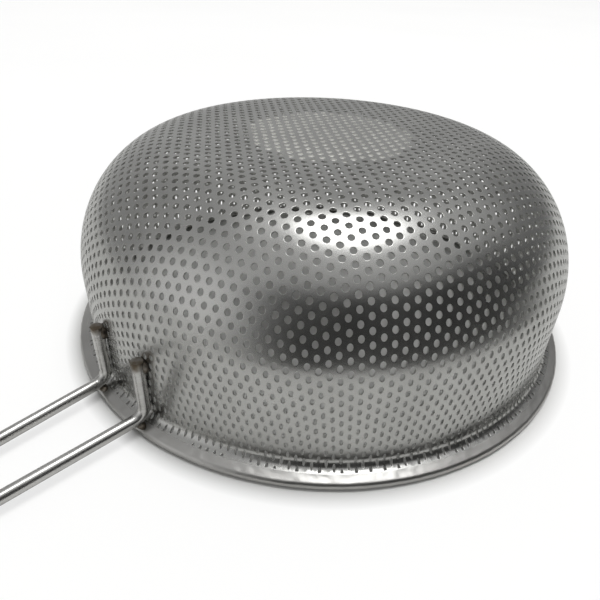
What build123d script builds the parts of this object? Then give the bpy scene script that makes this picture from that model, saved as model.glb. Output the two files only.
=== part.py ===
"""Perforated draining bowl with a rolled rim and a welded wire handle, lying upside down.

The bowl rests on its rim: z = 0 is the plane under the rim and the closed base is on top. The
origin is on the bowl's axis, and the handle points along -X. Sizes are in millimetres.
"""

import os
from math import asin, atan2, cos, degrees, hypot, radians, sin, sqrt

from build123d import *

# --- Driving dimensions ---------------------------------------------------------------------

# Bowl
rim_diameter = 200.0        # over the rolled edge
sheet = 0.5                 # thickness of the stainless sheet
wall_radius = 93.8          # outside of the straight wall
bowl_height = 75.2          # from the plane under the rim to the outside of the base
base_radius = 52.0          # flat part of the base
shoulder_height = 44.2      # from the top of the straight wall to the base

# Rim: the wall flares out into a short sloping brim, and the brim's edge is rolled under
flare_radius = 3.0          # outer face, between wall and brim
brim_slope = 20.0           # the brim falls this much outwards
roll_diameter = 3.0         # outside of the rolled edge
roll_end_angle = 195.0      # the rolled edge stops here, short of closing on itself
rim_wire_diameter = 1.9     # stiffening ring inside the rolled edge

# Perforation: a triangular lattice of round holes
hole_pitch = 3.88
hole_diameter = 2.15
lattice_angle = 52.0        # direction of one row, from +X
lattice_centre = (-0.37, 0.26)
hole_margin = 1.0           # plain metal between a base hole and the shoulder

# Wire handle
wire_diameter = 4.0
leg_radius = 96.0           # from the bowl's axis to a leg's centre line
leg_half_spacing = 12.0
leg_top = 28.0              # height of the welded leg tips
wire_bend_radius = 4.5      # centre line of the bend between leg and grip
weld_gap = 0.7              # between the wire and the rolled edge under it, filled by the weld
grip_end = 240.0            # from the bowl's axis to the far end of the grip's centre line
loop_radius = 6.5           # centre line of the closed end, which is also the hanging loop

# Welds, as half sizes: radial, sideways, up
tip_weld = (1.5, 2.9, 2.6)
tip_weld_radius = 94.5      # from the bowl's axis to the middle of a tip weld
tip_weld_height = 25.2
rim_weld = (1.5, 2.9, 1.2)

# Blank round label inside the base
label_diameter = 61.0
label_thickness = 0.2
label_gap = 0.05            # glue line between label and base

# --- Worked out from the dimensions above ---------------------------------------------------

roll_radius = roll_diameter / 2
roll_centre_radius = rim_diameter / 2 - roll_radius
wall_top = bowl_height - shoulder_height
shoulder_width = wall_radius - base_radius

# The brim is tangent to the rolled edge and to the flare, which sets the flare's height.
brim_turn = 90 - brim_slope                 # direction of the brim's outer face
flare_centre_radius = wall_radius + flare_radius
flare_centre_height = roll_radius + (
    roll_radius + flare_radius
    + (roll_centre_radius - flare_centre_radius) * cos(radians(brim_turn))
) / sin(radians(brim_turn))

# Straight part of the grip, from the corner over the leg to the closed end
wire_radius = wire_diameter / 2
corner_x = -sqrt(leg_radius**2 - leg_half_spacing**2)
corner_height = roll_diameter + weld_gap + wire_radius
loop_x = loop_radius - grip_end
taper = asin((leg_half_spacing - loop_radius) / hypot(leg_half_spacing, corner_x - loop_x))


def around_roll(angle, radius):
    """Point of the rim's section at an angle round the rolled edge's centre."""
    turn = radians(angle)
    return (roll_centre_radius + radius * cos(turn), roll_radius + radius * sin(turn))


def around_flare(angle, radius):
    """Point of the rim's section at an angle round the flare's centre."""
    turn = radians(angle)
    return (flare_centre_radius + radius * cos(turn), flare_centre_height + radius * sin(turn))


def grip_point(x, y):
    """Point of the handle's centre line: the grip drops evenly until its end is on z = 0."""
    drop = (corner_height - wire_radius) * (corner_x - x) / (corner_x + grip_end)
    return (x, y, corner_height - drop)


def half_spacing_at(x):
    """Half the distance between the two grip wires' centre lines."""
    return leg_half_spacing - (corner_x - x) * sin(taper) / cos(taper)


def outer_face():
    """Draw the bowl's outside in the open line sketch: base, shoulder, wall, flare and brim."""
    Line((0, bowl_height), (base_radius, bowl_height))
    EllipticalCenterArc(
        (base_radius, wall_top), shoulder_width, shoulder_height, start_angle=0, arc_size=90
    )
    Line((wall_radius, wall_top), around_flare(180, flare_radius))
    ThreePointArc(
        around_flare(180, flare_radius),
        around_flare(180 + brim_turn / 2, flare_radius),
        around_flare(180 + brim_turn, flare_radius),
    )
    Line(around_flare(180 + brim_turn, flare_radius), around_roll(brim_turn, roll_radius))


# --- Bowl: one drawn sheet, from the base to the rolled edge --------------------------------

lattice_a = (hole_pitch * cos(radians(lattice_angle)), hole_pitch * sin(radians(lattice_angle)))
lattice_b = (
    hole_pitch * cos(radians(lattice_angle + 60)),
    hole_pitch * sin(radians(lattice_angle + 60)),
)
steps = range(-int(base_radius / hole_pitch) * 2, int(base_radius / hole_pitch) * 2 + 1)
lattice = [
    (
        lattice_centre[0] + i * lattice_a[0] + j * lattice_b[0],
        lattice_centre[1] + i * lattice_a[1] + j * lattice_b[1],
    )
    for i in steps
    for j in steps
]
base_holes = [p for p in lattice if hypot(*p) < base_radius - hole_diameter / 2 - hole_margin]

with BuildPart() as bowl:
    with BuildSketch(Plane.XZ):
        with BuildLine():
            # Outer face, from the middle of the base to the end of the rolled edge
            outer_face()
            ThreePointArc(
                around_roll(brim_turn, roll_radius),
                around_roll(0, roll_radius),
                around_roll(roll_end_angle - 360, roll_radius),
            )
            # End of the sheet, and back along the inner face
            Line(
                around_roll(roll_end_angle, roll_radius),
                around_roll(roll_end_angle, roll_radius - sheet),
            )
            ThreePointArc(
                around_roll(roll_end_angle, roll_radius - sheet),
                around_roll(0, roll_radius - sheet),
                around_roll(brim_turn, roll_radius - sheet),
            )
            Line(
                around_roll(brim_turn, roll_radius - sheet),
                around_flare(180 + brim_turn, flare_radius + sheet),
            )
            ThreePointArc(
                around_flare(180 + brim_turn, flare_radius + sheet),
                around_flare(180 + brim_turn / 2, flare_radius + sheet),
                around_flare(180, flare_radius + sheet),
            )
            Line(around_flare(180, flare_radius + sheet), (wall_radius - sheet, wall_top))
            EllipticalCenterArc(
                (base_radius, wall_top),
                shoulder_width - sheet,
                shoulder_height - sheet,
                start_angle=0,
                arc_size=90,
            )
            Line((base_radius, bowl_height - sheet), (0, bowl_height - sheet))
            Line((0, bowl_height - sheet), (0, bowl_height))
        make_face()
    revolve(axis=Axis.Z)
    with BuildSketch(Plane.XY.offset(bowl_height)):
        with Locations(*base_holes):
            Circle(hole_diameter / 2)
    extrude(amount=-sheet, mode=Mode.SUBTRACT)
bowl.part.label = "bowl"

# --- Rim wire: a closed ring inside the rolled edge -----------------------------------------

with BuildPart() as rim_wire:
    with BuildSketch(Plane.XZ):
        with Locations((roll_centre_radius, roll_radius)):
            Circle(rim_wire_diameter / 2)
    revolve(axis=Axis.Z)
rim_wire.part.label = "rim_wire"

# --- Handle: one wire, from leg tip round the closed end to the other leg tip ---------------

loop_start_x = loop_x - loop_radius * sin(taper)
loop_start_y = loop_radius * cos(taper)

with BuildPart() as handle_wire:
    with BuildLine() as centre_line:
        for side in (1, -1):
            FilletPolyline(
                (corner_x, side * leg_half_spacing, leg_top),
                grip_point(corner_x, side * leg_half_spacing),
                grip_point(loop_start_x, side * loop_start_y),
                radius=wire_bend_radius,
            )
        ThreePointArc(
            grip_point(loop_start_x, loop_start_y),
            grip_point(-grip_end, 0),
            grip_point(loop_start_x, -loop_start_y),
        )
    with BuildSketch(Plane((corner_x, leg_half_spacing, leg_top), z_dir=(0, 0, -1))):
        Circle(wire_radius)
    sweep(path=centre_line.wire())
handle_wire.part.label = "handle_wire"

# --- Welds: one behind each leg's tip, and one under each wire on the rim -------------------

with BuildPart() as tip_nugget:
    Sphere(1)
    scale(by=tip_weld)

with BuildPart() as rim_nugget:
    Sphere(1)
    scale(by=rim_weld)

leg_turn = degrees(atan2(leg_half_spacing, -corner_x))
rim_crossing_x = -sqrt(roll_centre_radius**2 - half_spacing_at(corner_x) ** 2)
rim_crossing_y = half_spacing_at(rim_crossing_x)

# The space the bowl takes up, filled in: the welds are cut back to its outside.
with BuildPart() as bowl_outside:
    with BuildSketch(Plane.XZ):
        with BuildLine():
            outer_face()
            ThreePointArc(
                around_roll(brim_turn, roll_radius),
                around_roll(0, roll_radius),
                around_roll(-90, roll_radius),
            )
            Polyline((roll_centre_radius, 0), (0, 0), (0, bowl_height))
        make_face()
    revolve(axis=Axis.Z)

with BuildPart() as leg_welds:
    for side in (1, -1):
        outward = -side * leg_turn
        tip_place = Plane.XY.rotated((0, 0, outward)).location
        with Locations(tip_place):
            with Locations((-tip_weld_radius, 0, tip_weld_height)):
                add(tip_nugget.part)
    add(handle_wire.part, mode=Mode.SUBTRACT)
    add(bowl_outside.part, mode=Mode.SUBTRACT)
leg_welds.part.label = "leg_welds"

rim_weld_height = roll_diameter + weld_gap / 2

with BuildPart() as rim_welds:
    with Locations(
        (rim_crossing_x, rim_crossing_y, rim_weld_height),
        (rim_crossing_x, -rim_crossing_y, rim_weld_height),
    ):
        add(rim_nugget.part)
    add(handle_wire.part, mode=Mode.SUBTRACT)
    add(bowl_outside.part, mode=Mode.SUBTRACT)
rim_welds.part.label = "rim_welds"

# --- Label: a blank disc glued inside the base ----------------------------------------------

with BuildPart() as base_label:
    with BuildSketch(Plane.XY.offset(bowl_height - sheet - label_gap)):
        Circle(label_diameter / 2)
    extrude(amount=-label_thickness)
base_label.part.label = "base_label"

# --- Files ----------------------------------------------------------------------------------

os.makedirs("parts", exist_ok=True)
export_step(bowl.part, "parts/bowl.step")
export_step(rim_wire.part, "parts/rim_wire.step")
export_step(handle_wire.part, "parts/handle_wire.step")
export_step(leg_welds.part, "parts/leg_welds.step")
export_step(rim_welds.part, "parts/rim_welds.step")
export_step(base_label.part, "parts/base_label.step")
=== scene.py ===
"""Looks of the perforated draining bowl: pierced sheet, rolled rim, wire handle, welds and label.

Sizes are in millimetres and turned into metres where a mesh is made. The origin is on the bowl's
axis in the plane under the rim, +Z is up to the closed base, and the handle points along -X.
"""

from math import cos, pi, radians, sin, tan

import bpy
import numpy as np
from mathutils import Matrix, Vector, noise


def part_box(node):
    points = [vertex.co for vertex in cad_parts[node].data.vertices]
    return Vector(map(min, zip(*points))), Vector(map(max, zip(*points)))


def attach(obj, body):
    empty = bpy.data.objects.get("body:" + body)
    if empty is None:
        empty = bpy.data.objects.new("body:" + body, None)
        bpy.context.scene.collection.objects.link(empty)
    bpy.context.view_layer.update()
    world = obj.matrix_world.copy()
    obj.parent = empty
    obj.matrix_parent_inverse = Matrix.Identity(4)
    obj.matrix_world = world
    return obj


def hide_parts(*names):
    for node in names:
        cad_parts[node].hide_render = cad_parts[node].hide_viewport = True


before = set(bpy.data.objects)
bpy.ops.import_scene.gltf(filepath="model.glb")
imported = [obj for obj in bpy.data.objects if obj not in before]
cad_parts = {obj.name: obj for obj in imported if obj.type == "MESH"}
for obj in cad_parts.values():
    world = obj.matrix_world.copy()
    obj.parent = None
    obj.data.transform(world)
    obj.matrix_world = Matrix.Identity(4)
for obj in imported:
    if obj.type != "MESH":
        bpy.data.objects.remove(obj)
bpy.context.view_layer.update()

MM = 0.001

# --- Sizes read from the frame --------------------------------------------------------------

_, bowl_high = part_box("bowl")
rim_radius = bowl_high.x / MM
bowl_height = bowl_high.z / MM

# --- Sizes of the sheet, as in the CAD part -------------------------------------------------

SHEET = 0.5
WALL_RADIUS = 93.8
BASE_RADIUS = 52.0
SHOULDER_HEIGHT = 44.2
FLARE_RADIUS = 3.0
BRIM_TURN = radians(70)     # direction of the brim's outer face, which slopes down by 20 degrees
ROLL_RADIUS = 1.5
ROLL_END = radians(-165)    # angle round the roll where the rolled edge stops
HOLE_PITCH = 3.88
HOLE_DIAMETER = 2.15
LATTICE_ANGLE = 52.0
LATTICE_CENTRE = np.array((-0.37, 0.26))

# --- Sizes of the looks ---------------------------------------------------------------------

PUNCH_WIDTH = 0.13          # the punch draws the sheet down over this ring round each hole
PUNCH_DEPTH = 0.03
EDGE_TILT = 0.30            # how far the metal has turned into the hole at its edge
HOLE_SQUEEZE = 0.88         # share of the sheet's hoop shrinkage that the holes take up
HOLE_STRETCH = 0.97         # growth of a hole along the wall, in mm per unit of shrinkage
PIERCED_EDGE = 96.7         # radius on the brim where the pierced part of the sheet ends
SOLID_EDGE = 0.2            # plain metal between the last holes and that line
SHORT_HOLE = 0.9            # a hole cut off by that line is left out if less than this shows
RING = 12                   # points round a hole, and round its hexagonal cell
# The sheet is made as four pieces: how far each one reaches, measured along the outline
ZONES = {"bowl_base": 60.0, "bowl_shoulder": 104.0, "bowl_side": 130.0, "bowl_wall": 999.0}

wall_top = bowl_height - SHOULDER_HEIGHT
shoulder_width = WALL_RADIUS - BASE_RADIUS
roll_centre = rim_radius - ROLL_RADIUS
flare_centre = WALL_RADIUS + FLARE_RADIUS
flare_height = ROLL_RADIUS + (
    ROLL_RADIUS + FLARE_RADIUS + (roll_centre - flare_centre) * cos(BRIM_TURN)
) / sin(BRIM_TURN)
brim_start = (
    flare_centre - FLARE_RADIUS * cos(BRIM_TURN),
    flare_height - FLARE_RADIUS * sin(BRIM_TURN),
)
brim_end = (
    roll_centre + ROLL_RADIUS * cos(BRIM_TURN),
    ROLL_RADIUS + ROLL_RADIUS * sin(BRIM_TURN),
)


# --- Outline of the bowl, as a function of the distance along it from the base's centre -----

BASE_SAMPLES = 400
SHOULDER_SAMPLES = 3000
WALL_SAMPLES = 200
FLARE_SAMPLES = 400
BRIM_SAMPLES = 40


def brim_height(radius):
    """Height of the brim's outer face, which is straight between the flare and the roll."""
    return brim_start[1] - (radius - brim_start[0]) / tan(BRIM_TURN)


def outline():
    """Points and outward normals of the outer face: base, shoulder, wall, flare, start of brim."""
    parts = []
    r = np.linspace(0, BASE_RADIUS, BASE_SAMPLES, endpoint=False)
    parts.append((r, np.full_like(r, bowl_height), np.zeros_like(r), np.ones_like(r)))
    t = np.linspace(0, pi / 2, SHOULDER_SAMPLES, endpoint=False)
    nr, nz = np.sin(t) / shoulder_width, np.cos(t) / SHOULDER_HEIGHT
    size = np.hypot(nr, nz)
    parts.append((
        BASE_RADIUS + shoulder_width * np.sin(t),
        wall_top + SHOULDER_HEIGHT * np.cos(t),
        nr / size,
        nz / size,
    ))
    z = np.linspace(wall_top, flare_height, WALL_SAMPLES, endpoint=False)
    parts.append((np.full_like(z, WALL_RADIUS), z, np.ones_like(z), np.zeros_like(z)))
    t = np.linspace(pi, pi + BRIM_TURN, FLARE_SAMPLES, endpoint=False)
    parts.append((
        flare_centre + FLARE_RADIUS * np.cos(t),
        flare_height + FLARE_RADIUS * np.sin(t),
        -np.cos(t),
        -np.sin(t),
    ))
    r = np.linspace(brim_start[0], PIERCED_EDGE, BRIM_SAMPLES)
    parts.append((
        r,
        brim_height(r),
        np.full_like(r, cos(BRIM_TURN)),
        np.full_like(r, sin(BRIM_TURN)),
    ))
    rows = np.hstack([np.array(p) for p in parts])
    steps = np.hypot(np.diff(rows[0]), np.diff(rows[1]))
    return np.concatenate(([0], np.cumsum(steps))), rows


ALONG, ROWS = outline()
SHEET_END = ALONG[-1]


def on_bowl(along, turn, depth=0.0):
    """Points and outward normals at a distance along the outline and an angle about the axis."""
    r, z, nr, nz = (np.interp(along, ALONG, row) for row in ROWS)
    size = np.hypot(nr, nz)
    nr, nz = nr / size, nz / size
    c, s = np.cos(turn), np.sin(turn)
    radius, height = r - nr * depth, z - nz * depth
    points = np.stack((radius * c, radius * s, height), -1)
    normals = np.stack((nr * c, nr * s, nz), -1)
    return points, normals


# --- Mesh helpers ---------------------------------------------------------------------------


def make_mesh(name, points, faces, normals=None, materials=(), kinds=None):
    """A mesh object from points in mm, a list of face arrays and normals for each corner.

    kinds names, for each face array, which of the materials it has.
    """
    loops = np.concatenate([f.ravel() for f in faces]).astype(np.int32)
    sizes = np.concatenate([np.full(len(f), f.shape[1]) for f in faces])
    starts = np.concatenate(([0], np.cumsum(sizes)[:-1])).astype(np.int32)
    mesh = bpy.data.meshes.new(name)
    mesh.vertices.add(len(points))
    mesh.vertices.foreach_set("co", (points * MM).astype(np.float32).ravel())
    mesh.loops.add(len(loops))
    mesh.loops.foreach_set("vertex_index", loops)
    mesh.polygons.add(len(sizes))
    mesh.polygons.foreach_set("loop_start", starts)
    mesh.update(calc_edges=True)
    mesh.polygons.foreach_set("use_smooth", np.ones(len(sizes), bool))
    if normals is not None:
        mesh.normals_split_custom_set(np.concatenate([n.reshape(-1, 3) for n in normals]))
    mesh.update()
    for material in materials:
        mesh.materials.append(material)
    if kinds is not None:
        slots = np.concatenate([np.full(len(f), k) for f, k in zip(faces, kinds)])
        mesh.polygons.foreach_set("material_index", slots.astype(np.int32))
    piece = bpy.data.objects.new(name, mesh)
    bpy.context.scene.collection.objects.link(piece)
    return piece


def unit(vectors):
    return vectors / np.maximum(np.linalg.norm(vectors, axis=-1, keepdims=True), 1e-12)


# --- Perforated sheet -----------------------------------------------------------------------

ROW_A = HOLE_PITCH * np.array((cos(radians(LATTICE_ANGLE)), sin(radians(LATTICE_ANGLE))))
ROW_B = HOLE_PITCH * np.array(
    (cos(radians(LATTICE_ANGLE + 60)), sin(radians(LATTICE_ANGLE + 60)))
)
NEIGHBOURS = np.array(((1, 0), (0, 1), (-1, 1), (-1, 0), (0, -1), (1, -1)))
CELL_PARTS = 6              # cell corners and edge middles fall on sixths of the lattice steps
ROW_REACH = 1.25            # rows are slanted, so they take more steps than the sheet has pitches


def flat(key):
    """Place in the flat sheet of a point given in sixths of the lattice steps."""
    return LATTICE_CENTRE + (key[..., :1] * ROW_A + key[..., 1:] * ROW_B) / CELL_PARTS


def cell_rim():
    """The 12 points round a cell, from an edge's middle to the next corner and so on."""
    rim = []
    for k in range(6):
        here, after = NEIGHBOURS[k], NEIGHBOURS[(k + 1) % 6]
        rim += [3 * here, 2 * (here + after)]
    return np.array(rim)


def cells():
    """Keys of every cell that reaches onto the sheet, and whether it holds a hole."""
    reach = int(SHEET_END / HOLE_PITCH * ROW_REACH)
    i, j = np.meshgrid(np.arange(-reach, reach + 1), np.arange(-reach, reach + 1))
    key = CELL_PARTS * np.stack((i.ravel(), j.ravel()), -1)
    nearest = np.linalg.norm(flat(key[:, None] + cell_rim()), axis=-1).min(1)
    key = key[nearest < SHEET_END - SOLID_EDGE]
    along = np.linalg.norm(flat(key), axis=-1)
    shown = SHEET_END - SOLID_EDGE - (along - hole_length(along) / 2)
    return key, along, shown > SHORT_HOLE


def shrinkage(along):
    """How much the hoop round the bowl is shorter than the same hoop was in the flat sheet."""
    return 1 - np.interp(along, ALONG, ROWS[0]) / np.maximum(along, 1e-6)


def hole_width(along):
    return HOLE_DIAMETER - HOLE_SQUEEZE * HOLE_PITCH * shrinkage(along)


def hole_length(along):
    return HOLE_DIAMETER + HOLE_STRETCH * shrinkage(along)


def polar(points):
    return np.linalg.norm(points, axis=-1), np.arctan2(points[..., 1], points[..., 0])


def sheet_zone(name, key, along, pierced, skin, cut):
    """One zone of the pierced sheet: both faces and the walls of its holes.

    It is open along the line where it meets the next zone or the rim. Also returns the angles
    of its points on the rim's line, which the rim needs.
    """
    rim_keys = key[:, None] + cell_rim()
    unique, rim_index = np.unique(rim_keys.reshape(-1, 2), axis=0, return_inverse=True)
    rim_index = rim_index.reshape(-1, RING)
    rim_along, rim_turn = polar(flat(unique))
    clamped = rim_along > SHEET_END - SOLID_EDGE
    rim_along = np.where(clamped, SHEET_END, rim_along)
    outer, outer_normal = on_bowl(rim_along, rim_turn)
    inner, _ = on_bowl(rim_along, rim_turn, SHEET)

    # Rings round each hole, in directions that match the 12 points of the cell's rim. A spoke
    # is the angle from straight outwards, between -pi and pi.
    hole_along, hole_turn = polar(flat(key[pierced]))
    spokes = radians(LATTICE_ANGLE) + np.arange(RING) * 2 * pi / RING - hole_turn[:, None]
    spokes = (spokes + pi) % (2 * pi) - pi
    radius = np.interp(hole_along, ALONG, ROWS[0])[:, None]

    def ring(margin, depth):
        length = hole_length(hole_along)[:, None] / 2 + margin
        width = hole_width(hole_along)[:, None] / 2 + margin
        near_centre = np.maximum(radius, 1.0)
        # A hole that reaches past the pierced part is cut off straight there
        last = SHEET_END - SOLID_EDGE + margin - PUNCH_WIDTH
        corner = np.arccos(np.clip((last - hole_along[:, None]) / length, -1, 1))
        cut_off = np.abs(spokes) < corner
        chord = np.sin(corner) * spokes / np.maximum(corner, 1e-6)
        x = hole_along[:, None] + length * np.where(cut_off, np.cos(corner), np.cos(spokes))
        y = width * np.where(cut_off, chord, np.sin(spokes))
        along_ring, turn_ring = x, hole_turn[:, None] + y / near_centre
        # Close to the axis the same offsets are laid out in the plane of the base
        plane_along, plane_turn = np.hypot(x, y), hole_turn[:, None] + np.arctan2(y, x)
        in_base = hole_along[:, None] < BASE_RADIUS - HOLE_PITCH
        along_ring = np.where(in_base, plane_along, along_ring)
        turn_ring = np.where(in_base, plane_turn, turn_ring)
        return on_bowl(along_ring, turn_ring, depth)

    lip, lip_normal = ring(PUNCH_WIDTH, 0.0)
    edge, edge_normal = ring(0.0, PUNCH_DEPTH)
    back, back_normal = ring(0.0, SHEET)
    shown_centre = np.minimum(hole_along, SHEET_END - SOLID_EDGE - SHORT_HOLE)
    centre, _ = on_bowl(shown_centre, hole_turn)
    inward = unit(centre[:, None] - lip)
    inward = unit(inward - edge_normal * (inward * edge_normal).sum(-1, keepdims=True))

    # Middle points of the cells without a hole
    plain_along, plain_turn = polar(flat(key[~pierced]))
    plain_clamped = plain_along > SHEET_END - SOLID_EDGE
    plain_along = np.where(plain_clamped, SHEET_END, plain_along)
    middle, middle_normal = on_bowl(plain_along, plain_turn)
    middle_back, _ = on_bowl(plain_along, plain_turn, SHEET)

    blocks = [outer, inner, lip.reshape(-1, 3), edge.reshape(-1, 3), back.reshape(-1, 3)]
    blocks += [middle, middle_back]
    offsets = np.cumsum([0] + [len(b) for b in blocks])
    points = np.concatenate(blocks)
    count = len(hole_along)
    ring_index = np.arange(count * RING).reshape(count, RING)
    step = np.roll(np.arange(RING), -1)

    def band(first, second):
        quads = np.stack((first, first[:, step], second[:, step], second), -1)
        return quads.reshape(-1, 4)

    def band_normals(first, second):
        corners = np.stack((first, first[:, step], second[:, step], second), -2)
        return corners.reshape(-1, 3)

    top = rim_index[pierced]
    under = top + offsets[1]
    ring_lip, ring_edge, ring_back = (ring_index + offsets[k] for k in (2, 3, 4))
    top_normal = outer_normal[top]
    edge_tilt = unit(EDGE_TILT * inward + edge_normal)
    faces = [
        band(top, ring_lip),
        band(ring_lip, ring_edge),
        band(ring_edge, ring_back),
        band(ring_back, under),
    ]
    normals = [
        band_normals(top_normal, lip_normal),
        band_normals(lip_normal, edge_tilt),
        band_normals(inward, inward),
        band_normals(-back_normal, -top_normal),
    ]
    kinds = [0, 0, 1, 1]

    # Fans over the cells without a hole, less the slivers that fall on the rim's edge
    plain = rim_index[~pierced]
    if len(plain):
        mid = np.repeat(np.arange(len(plain))[:, None], RING, 1)
        fan = np.stack((plain, plain[:, step], mid), -1).reshape(-1, 3)
        flat_fan = clamped[fan[:, 0]] & clamped[fan[:, 1]] & plain_clamped[fan[:, 2]]
        fan = fan[~flat_fan]
        up = np.stack(
            (outer_normal[fan[:, 0]], outer_normal[fan[:, 1]], middle_normal[fan[:, 2]]), 1
        )
        faces.append(fan + np.array((0, 0, offsets[5])))
        faces.append((fan + np.array((offsets[1], offsets[1], offsets[6])))[:, ::-1])
        normals += [up, -up[:, ::-1]]
        kinds += [0, 1]
    piece = make_mesh(name, points, faces, normals, (skin, cut), kinds)
    edge_turns = rim_turn[clamped]
    if len(plain):
        edge_turns = np.concatenate((edge_turns, plain_turn[plain_clamped]))
    return piece, edge_turns


# --- Rim ------------------------------------------------------------------------------------

BRIM_STEPS = 10
ROLL_STEPS = 40
FADE_LENGTH = 0.8           # the rim's dents set in over this length, so that it meets the sheet
DENTS = ((11.0, 0.08), (2.5, 0.075))     # length along the rim and depth
SHARP_ANGLE = radians(60)


def rim_section():
    """Places, heights and outward normals across the plain part of the brim and round the roll."""
    r = np.linspace(PIERCED_EDGE, brim_end[0], BRIM_STEPS, endpoint=False)
    t = np.linspace(BRIM_TURN, ROLL_END, ROLL_STEPS)
    place = np.concatenate((r, roll_centre + ROLL_RADIUS * np.cos(t)))
    height = np.concatenate((brim_height(r), ROLL_RADIUS + ROLL_RADIUS * np.sin(t)))
    turn = np.concatenate((np.full_like(r, BRIM_TURN), t))
    return place, height, np.cos(turn), np.sin(turn)


def rolled_rim(turns, material):
    """Brim and rolled edge, with the soft crinkles that rolling leaves across them."""
    turns = np.unique(np.round(turns, 7))
    place, height, out, up = rim_section()
    steps = np.hypot(np.diff(place), np.diff(height))
    run = np.concatenate(([0], np.cumsum(steps)))
    dent = np.zeros((len(turns), len(run)))
    for length, depth in DENTS:
        size = rim_radius / length
        dent += depth * np.array([
            [noise.noise(Vector((size * cos(t), size * sin(t), x / length))) for x in run]
            for t in turns
        ])
    dent *= np.clip(run / FADE_LENGTH, 0, 1)
    c, s = np.cos(turns)[:, None], np.sin(turns)[:, None]

    def lay(depth):
        r = place - out * depth
        return np.stack((r * c, r * s, height - up * depth), -1)

    front, back = lay(dent), lay(np.full_like(dent, SHEET))
    points = np.concatenate((front, back[:, ::-1]), 1)
    across = points.shape[1]
    index = np.arange(len(turns) * across).reshape(len(turns), across)
    ahead = np.roll(index, -1, 0)
    quads = np.stack((index[:, :-1], index[:, 1:], ahead[:, 1:], ahead[:, :-1]), -1)
    piece = make_mesh("bowl_rim", points.reshape(-1, 3), [quads.reshape(-1, 4)], None, (material,))
    piece.data.set_sharp_from_angle(angle=SHARP_ANGLE)
    return piece


# --- Materials ------------------------------------------------------------------------------

# Noise scales are in waves per metre, and bump depths in metres
SHEET_CLOUDS, SHEET_GRAIN = 55, 1400
WIRE_STREAKS, WIRE_CLOUDS = 900, 260
WELD_CLOUDS, WELD_RIPPLE = 420, 1100
PAPER_FIBRE = 900
FLOOR_CLOUDS = 3
GRAIN_DEPTH = 0.0002
STREAK_DEPTH = 0.0001
RIPPLE_DEPTH = 0.0004
FIBRE_DEPTH = 0.0001
HEAT_RAGGED = 0.006         # the heat colour sets in this unevenly, in metres of height
HEAT_START, HEAT_FULL = 0.0280, 0.0312   # heights in metres, unevenness added
WIRE_ROUGH, BURNT_ROUGH = 0.26, 0.5
BURNT = (0.13, 0.105, 0.075, 1)


def new_material(name):
    material = bpy.data.materials.new(name)
    material.use_nodes = True
    nodes, links = material.node_tree.nodes, material.node_tree.links
    return material, nodes, links, nodes["Principled BSDF"]


def add_noise(nodes, links, coords, scale, detail=4.0, stretch=(1, 1, 1)):
    mapping = nodes.new("ShaderNodeMapping")
    mapping.inputs["Scale"].default_value = stretch
    links.new(coords, mapping.inputs["Vector"])
    texture = nodes.new("ShaderNodeTexNoise")
    texture.inputs["Scale"].default_value = scale
    texture.inputs["Detail"].default_value = detail
    links.new(mapping.outputs["Vector"], texture.inputs["Vector"])
    return texture.outputs["Fac"]


def add_ramp(nodes, links, fac, stops):
    ramp = nodes.new("ShaderNodeValToRGB")
    while len(ramp.color_ramp.elements) < len(stops):
        ramp.color_ramp.elements.new(0.5)
    for element, (place, colour) in zip(ramp.color_ramp.elements, stops):
        element.position = place
        element.color = (*colour, 1)
    links.new(fac, ramp.inputs["Fac"])
    return ramp.outputs["Color"]


def add_range(nodes, links, value, low, high, to_low, to_high):
    scale = nodes.new("ShaderNodeMapRange")
    scale.inputs["From Min"].default_value = low
    scale.inputs["From Max"].default_value = high
    scale.inputs["To Min"].default_value = to_low
    scale.inputs["To Max"].default_value = to_high
    links.new(value, scale.inputs["Value"])
    return scale.outputs["Result"]


def add_bump(nodes, links, height, strength, distance, normal=None):
    bump = nodes.new("ShaderNodeBump")
    bump.inputs["Strength"].default_value = strength
    bump.inputs["Distance"].default_value = distance
    links.new(height, bump.inputs["Height"])
    if normal is not None:
        links.new(normal, bump.inputs["Normal"])
    return bump.outputs["Normal"]


def coordinates(nodes):
    return nodes.new("ShaderNodeTexCoord").outputs["Object"]


def satin_steel(name, colour, rough, grain):
    """Cold-rolled sheet: soft reflections, faint cloudiness and a fine grain."""
    material, nodes, links, shader = new_material(name)
    place = coordinates(nodes)
    cloud = add_noise(nodes, links, place, SHEET_CLOUDS, 5)
    tint = add_ramp(nodes, links, cloud, (
        (0.30, tuple(c * 0.90 for c in colour)),
        (0.70, tuple(min(1.0, c * 1.05) for c in colour)),
    ))
    links.new(tint, shader.inputs["Base Color"])
    shader.inputs["Metallic"].default_value = 1
    fine = add_noise(nodes, links, place, SHEET_GRAIN, 3)
    links.new(
        add_range(nodes, links, cloud, 0.3, 0.7, rough - 0.03, rough + 0.04),
        shader.inputs["Roughness"],
    )
    links.new(add_bump(nodes, links, fine, grain, GRAIN_DEPTH), shader.inputs["Normal"])
    return material


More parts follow.
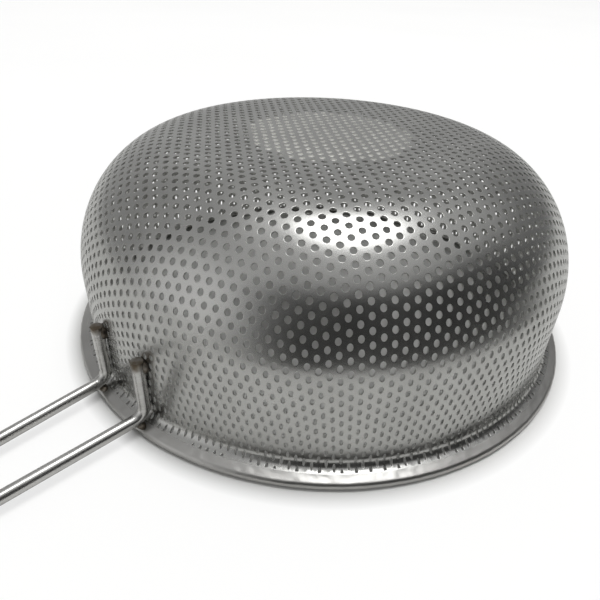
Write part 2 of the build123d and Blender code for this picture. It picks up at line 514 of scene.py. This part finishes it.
def polished_wire():
    """Drawn wire: brighter and smoother than the sheet, with heat colour near the welds."""
    material, nodes, links, shader = new_material("polished_wire")
    place = coordinates(nodes)
    streaks = add_noise(nodes, links, place, WIRE_STREAKS, 3, (0.06, 1, 1))
    tint = add_ramp(nodes, links, streaks, (
        (0.35, (0.48, 0.475, 0.46)),
        (0.65, (0.60, 0.595, 0.58)),
    ))
    split = nodes.new("ShaderNodeSeparateXYZ")
    links.new(place, split.inputs["Vector"])
    cloud = add_noise(nodes, links, place, WIRE_CLOUDS, 4)
    height = nodes.new("ShaderNodeMath")
    height.operation = "MULTIPLY_ADD"
    links.new(cloud, height.inputs[0])
    height.inputs[1].default_value = HEAT_RAGGED
    links.new(split.outputs["Z"], height.inputs[2])
    heat = add_range(nodes, links, height.outputs[0], HEAT_START, HEAT_FULL, 0, 1)
    burnt = nodes.new("ShaderNodeMix")
    burnt.data_type = "RGBA"
    links.new(heat, burnt.inputs["Factor"])
    links.new(tint, burnt.inputs["A"])
    burnt.inputs["B"].default_value = BURNT
    links.new(burnt.outputs["Result"], shader.inputs["Base Color"])
    shader.inputs["Metallic"].default_value = 1
    rough = add_range(nodes, links, heat, 0, 1, WIRE_ROUGH, BURNT_ROUGH)
    links.new(rough, shader.inputs["Roughness"])
    links.new(add_bump(nodes, links, streaks, 0.08, STREAK_DEPTH), shader.inputs["Normal"])
    return material


def weld_metal():
    """Weld and the metal melted round it: rippled, heat-tinted brown."""
    material, nodes, links, shader = new_material("weld_metal")
    place = coordinates(nodes)
    cloud = add_noise(nodes, links, place, WELD_CLOUDS, 5)
    tint = add_ramp(nodes, links, cloud, (
        (0.30, (0.045, 0.038, 0.030)),
        (0.50, (0.12, 0.102, 0.080)),
        (0.70, (0.26, 0.24, 0.215)),
    ))
    links.new(tint, shader.inputs["Base Color"])
    shader.inputs["Metallic"].default_value = 0.9
    links.new(add_range(nodes, links, cloud, 0.3, 0.7, 0.5, 0.28), shader.inputs["Roughness"])
    ripple = add_noise(nodes, links, place, WELD_RIPPLE, 3)
    links.new(add_bump(nodes, links, ripple, 0.5, RIPPLE_DEPTH), shader.inputs["Normal"])
    return material


def paper():
    """Blank label stock: matt, with a faint fibre."""
    material, nodes, links, shader = new_material("label_paper")
    place = coordinates(nodes)
    fibre = add_noise(nodes, links, place, PAPER_FIBRE, 4)
    tint = add_ramp(nodes, links, fibre, (
        (0.35, (0.87, 0.87, 0.84)),
        (0.65, (0.93, 0.93, 0.90)),
    ))
    links.new(tint, shader.inputs["Base Color"])
    shader.inputs["Roughness"].default_value = 0.75
    links.new(add_bump(nodes, links, fibre, 0.1, FIBRE_DEPTH), shader.inputs["Normal"])
    return material


def dress(node, material):
    """Give a CAD node this material in each of its slots."""
    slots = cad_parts[node].data.materials
    for k in range(len(slots)):
        slots[k] = material


# --- Build the object -----------------------------------------------------------------------

sheet_steel = satin_steel("sheet_steel", (0.475, 0.475, 0.46), 0.24, 0.05)
cut_steel = satin_steel("cut_steel", (0.64, 0.64, 0.62), 0.55, 0.10)
rim_steel = satin_steel("rim_steel", (0.48, 0.475, 0.46), 0.34, 0.12)
wire_steel = polished_wire()
weld_steel = weld_metal()

cell_key, cell_along, cell_pierced = cells()
edge_turns = []
inside = -1.0
for zone, limit in ZONES.items():
    chosen = (cell_along > inside) & (cell_along <= limit)
    piece, turns = sheet_zone(
        zone, cell_key[chosen], cell_along[chosen], cell_pierced[chosen], sheet_steel, cut_steel
    )
    edge_turns.append(turns)
    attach(piece, "root")
    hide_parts("bowl")
    inside = limit

rim_piece = rolled_rim(np.concatenate(edge_turns), rim_steel)
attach(rim_piece, "root")
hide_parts("bowl")

dress("rim_wire", wire_steel)
dress("handle_wire", wire_steel)
dress("leg_welds", weld_steel)
dress("rim_welds", weld_steel)
dress("base_label", paper())

# --- Floor ----------------------------------------------------------------------------------

FLOOR_SIZE = 12.0           # in metres
FLOOR_LIFT = 0.6            # share of plain white in the floor as the camera sees it
FLOOR_WHITE = 1.2
LIFT_WIDTH = 6.0            # the lift sets in over this width, outside the rim


def pale_floor():
    """A plain pale table top, a little over-lit for the camera so that it runs to white."""
    bpy.ops.mesh.primitive_plane_add(size=FLOOR_SIZE, location=(0, 0, 0))
    floor = bpy.context.active_object
    floor.name = "floor"
    material, nodes, links, shader = new_material("floor_paint")
    place = coordinates(nodes)
    tone = add_ramp(nodes, links, add_noise(nodes, links, place, FLOOR_CLOUDS, 2), (
        (0.3, (0.56, 0.56, 0.55)),
        (0.7, (0.59, 0.59, 0.58)),
    ))
    links.new(tone, shader.inputs["Base Color"])
    shader.inputs["Roughness"].default_value = 0.8
    shader.inputs["Specular IOR Level"].default_value = 0.1
    white = nodes.new("ShaderNodeEmission")
    white.inputs["Strength"].default_value = FLOOR_WHITE
    seen = nodes.new("ShaderNodeLightPath")
    lift = nodes.new("ShaderNodeMixShader")
    reach = nodes.new("ShaderNodeVectorMath")
    reach.operation = "LENGTH"
    links.new(place, reach.inputs[0])
    rim, outside = rim_radius * MM, (rim_radius + LIFT_WIDTH) * MM
    beyond_rim = add_range(nodes, links, reach.outputs["Value"], rim, outside, 0, FLOOR_LIFT)
    share = nodes.new("ShaderNodeMath")
    share.operation = "MULTIPLY"
    links.new(beyond_rim, share.inputs[0])
    links.new(seen.outputs["Is Camera Ray"], share.inputs[1])
    links.new(share.outputs[0], lift.inputs["Fac"])
    links.new(shader.outputs["BSDF"], lift.inputs[1])
    links.new(white.outputs["Emission"], lift.inputs[2])
    links.new(lift.outputs["Shader"], nodes["Material Output"].inputs["Surface"])
    floor.data.materials.append(material)


pale_floor()

# --- Studio: a plain neutral room with one soft lamp overhead ---------------------------------

ROOM = 0.48                 # brightness of the room all round
BACKDROP = 0.97             # what the camera sees behind the floor
# Soft neutral patches: azimuth, elevation, half width, half height, softness, brightness
PATCHES = (
    (70, 54, 62, 15, 0.6, 0.38),        # a darker ring below the ceiling
    (110, 14, 26, 28, 0.6, 0.35),       # a darker side, behind the handle
    (168, 12, 27, 32, 0.6, 0.84),       # a paler side, left of the handle
    (-35, 18, 46, 36, 0.6, 0.17),       # a shaded side, right of the camera
    (-20, 74, 30, 30, 0.9, 0.75),       # glow round the lamp
    (-2, 79, 12, 12, 0.6, 7.0),         # the lamp
)


def direction(azimuth, elevation):
    """Unit vector at degrees from +X towards +Y, and degrees up."""
    a, e = radians(azimuth), radians(elevation)
    return Vector((cos(e) * cos(a), cos(e) * sin(a), sin(e)))


def add_patch(nodes, links, heading, colour_in, patch):
    """Lay one soft elliptical patch of light over the room so far."""
    azimuth, elevation, half_width, half_height, softness, brightness = patch
    front = direction(azimuth, elevation)
    across = Vector((-sin(radians(azimuth)), cos(radians(azimuth)), 0))
    upward = front.cross(across)

    def along(axis, size):
        dot = nodes.new("ShaderNodeVectorMath")
        dot.operation = "DOT_PRODUCT"
        links.new(heading, dot.inputs[0])
        dot.inputs[1].default_value = axis / size
        return dot.outputs["Value"]

    combine = nodes.new("ShaderNodeCombineXYZ")
    links.new(along(across, sin(radians(half_width))), combine.inputs["X"])
    links.new(along(upward, sin(radians(half_height))), combine.inputs["Y"])
    length = nodes.new("ShaderNodeVectorMath")
    length.operation = "LENGTH"
    links.new(combine.outputs["Vector"], length.inputs[0])
    mask = nodes.new("ShaderNodeMapRange")
    mask.interpolation_type = "SMOOTHSTEP"
    mask.inputs["From Min"].default_value = 1 + softness
    mask.inputs["From Max"].default_value = 1 - softness
    links.new(length.outputs["Value"], mask.inputs["Value"])
    ahead = nodes.new("ShaderNodeMath")
    ahead.operation = "GREATER_THAN"
    ahead.inputs[1].default_value = 0
    links.new(along(front, 1), ahead.inputs[0])
    share = nodes.new("ShaderNodeMath")
    share.operation = "MULTIPLY"
    links.new(mask.outputs["Result"], share.inputs[0])
    links.new(ahead.outputs[0], share.inputs[1])
    mix = nodes.new("ShaderNodeMix")
    mix.data_type = "RGBA"
    links.new(share.outputs[0], mix.inputs["Factor"])
    links.new(colour_in, mix.inputs["A"])
    mix.inputs["B"].default_value = (brightness, brightness, brightness, 1)
    return mix.outputs["Result"]


def studio():
    """World light: what the steel reflects, with a plain pale backdrop for the camera."""
    world = bpy.data.worlds.new("studio")
    bpy.context.scene.world = world
    world.use_nodes = True
    nodes, links = world.node_tree.nodes, world.node_tree.links
    heading = nodes.new("ShaderNodeTexCoord").outputs["Generated"]
    room = nodes.new("ShaderNodeRGB")
    room.outputs[0].default_value = (ROOM, ROOM, ROOM, 1)
    colour = room.outputs[0]
    for patch in PATCHES:
        colour = add_patch(nodes, links, heading, colour, patch)
    seen = nodes.new("ShaderNodeLightPath")
    backdrop = nodes.new("ShaderNodeMix")
    backdrop.data_type = "RGBA"
    links.new(seen.outputs["Is Camera Ray"], backdrop.inputs["Factor"])
    links.new(colour, backdrop.inputs["A"])
    backdrop.inputs["B"].default_value = (BACKDROP, BACKDROP, BACKDROP, 1)
    links.new(backdrop.outputs["Result"], nodes["Background"].inputs["Color"])


# Lamp and dark card: sizes and distances in metres, angles in degrees
LAMP_DISTANCE = 3.0
LAMP_SIZE = 1.2
LAMP_WATTS = 42.0


def floor_lamp():
    """A second soft lamp in the same place, which lights matt surfaces and not the steel."""
    data = bpy.data.lights.new("soft_lamp", "AREA")
    data.shape = "DISK"
    data.size = LAMP_SIZE
    data.energy = LAMP_WATTS
    lamp = bpy.data.objects.new("soft_lamp", data)
    heading = direction(*PATCHES[-1][:2])
    lamp.location = heading * LAMP_DISTANCE
    lamp.rotation_euler = heading.to_track_quat("Z", "Y").to_euler()
    lamp.visible_glossy = False
    bpy.context.scene.collection.objects.link(lamp)


FLAG_DISTANCE = 0.205
FLAG_HEIGHT = 0.22
FLAG_SOLID_HEIGHT = 0.6     # share of the height up to which the card is solid
FLAG_MIDDLE = -111          # degrees from +X towards +Y
FLAG_HALF_WIDTH = 66
FLAG_SOLID = 30             # the card is solid this far from its middle, then fades out
FLAG_STEPS = 48
FLAG_GREY = 0.08


def dark_flag():
    """A curved dark grey card with faded edges, on the camera's side, as used for bright steel."""
    reach = np.linspace(-FLAG_HALF_WIDTH, FLAG_HALF_WIDTH, FLAG_STEPS)
    turns = np.radians(FLAG_MIDDLE + reach)
    line = np.stack((np.cos(turns), np.sin(turns)), -1) * FLAG_DISTANCE / MM
    low = np.column_stack((line, np.zeros(FLAG_STEPS)))
    high = np.column_stack((line, np.full(FLAG_STEPS, FLAG_HEIGHT / MM)))
    here = np.arange(FLAG_STEPS - 1)
    quads = np.stack((here, here + 1, here + 1 + FLAG_STEPS, here + FLAG_STEPS), -1)
    material, nodes, links, shader = new_material("flag_card")
    shader.inputs["Base Color"].default_value = (FLAG_GREY, FLAG_GREY, FLAG_GREY, 1)
    shader.inputs["Roughness"].default_value = 1
    place = coordinates(nodes)
    middle = radians(FLAG_MIDDLE)
    side = nodes.new("ShaderNodeVectorMath")
    side.operation = "DOT_PRODUCT"
    links.new(place, side.inputs[0])
    side.inputs[1].default_value = (cos(middle) / FLAG_DISTANCE, sin(middle) / FLAG_DISTANCE, 0)
    split = nodes.new("ShaderNodeSeparateXYZ")
    links.new(place, split.inputs["Vector"])
    edge, solid = cos(radians(FLAG_HALF_WIDTH)), cos(radians(FLAG_SOLID))
    across = add_range(nodes, links, side.outputs["Value"], edge, solid, 0, 1)
    solid_height = FLAG_HEIGHT * FLAG_SOLID_HEIGHT
    upward = add_range(nodes, links, split.outputs["Z"], FLAG_HEIGHT, solid_height, 0, 1)
    for fade in (across, upward):
        fade.node.interpolation_type = "SMOOTHSTEP"
    cover = nodes.new("ShaderNodeMath")
    cover.operation = "MULTIPLY"
    links.new(across, cover.inputs[0])
    links.new(upward, cover.inputs[1])
    links.new(cover.outputs[0], shader.inputs["Alpha"])
    flag = make_mesh("dark_flag", np.concatenate((low, high)), [quads], None, (material,))
    flag.visible_camera = False
    flag.visible_diffuse = False
    flag.visible_shadow = False


studio()
floor_lamp()
dark_flag()

# --- Camera ---------------------------------------------------------------------------------

# Angles in degrees and sizes in millimetres
AIM_HEIGHT = 45.0           # the camera's place is given round this point of the bowl's axis
CAMERA_DISTANCE = 214.8
CAMERA_AZIMUTH = -49.6      # 0 looks along +Y
CAMERA_ELEVATION = 23.72
CAMERA_PAN = -1.97
CAMERA_TILT = -10.01
CAMERA_ROLL = 3.41
CAMERA_LENS = 31.46
SENSOR_WIDTH = 36


def place_camera():
    data = bpy.data.cameras.new("camera")
    data.lens = CAMERA_LENS
    data.sensor_width = SENSOR_WIDTH
    data.clip_start = 0.01
    camera = bpy.data.objects.new("camera", data)
    bpy.context.scene.collection.objects.link(camera)
    a, e = radians(CAMERA_AZIMUTH), radians(CAMERA_ELEVATION)
    forward = Vector((-sin(a) * cos(e), cos(a) * cos(e), -sin(e)))
    right = Vector((cos(a), sin(a), 0))
    up = right.cross(forward)
    place = Vector((0, 0, AIM_HEIGHT * MM)) - forward * CAMERA_DISTANCE * MM
    pan, tilt, roll = radians(CAMERA_PAN), radians(CAMERA_TILT), radians(CAMERA_ROLL)
    right, forward = (
        right * cos(pan) - forward * sin(pan),
        forward * cos(pan) + right * sin(pan),
    )
    forward, up = (
        forward * cos(tilt) + up * sin(tilt),
        up * cos(tilt) - forward * sin(tilt),
    )
    right, up = (
        right * cos(roll) + up * sin(roll),
        up * cos(roll) - right * sin(roll),
    )
    turn = Matrix((right, up, -forward)).transposed().to_4x4()
    camera.matrix_world = Matrix.Translation(place) @ turn
    bpy.context.scene.camera = camera


place_camera()
bpy.context.scene.view_settings.view_transform = "Standard"
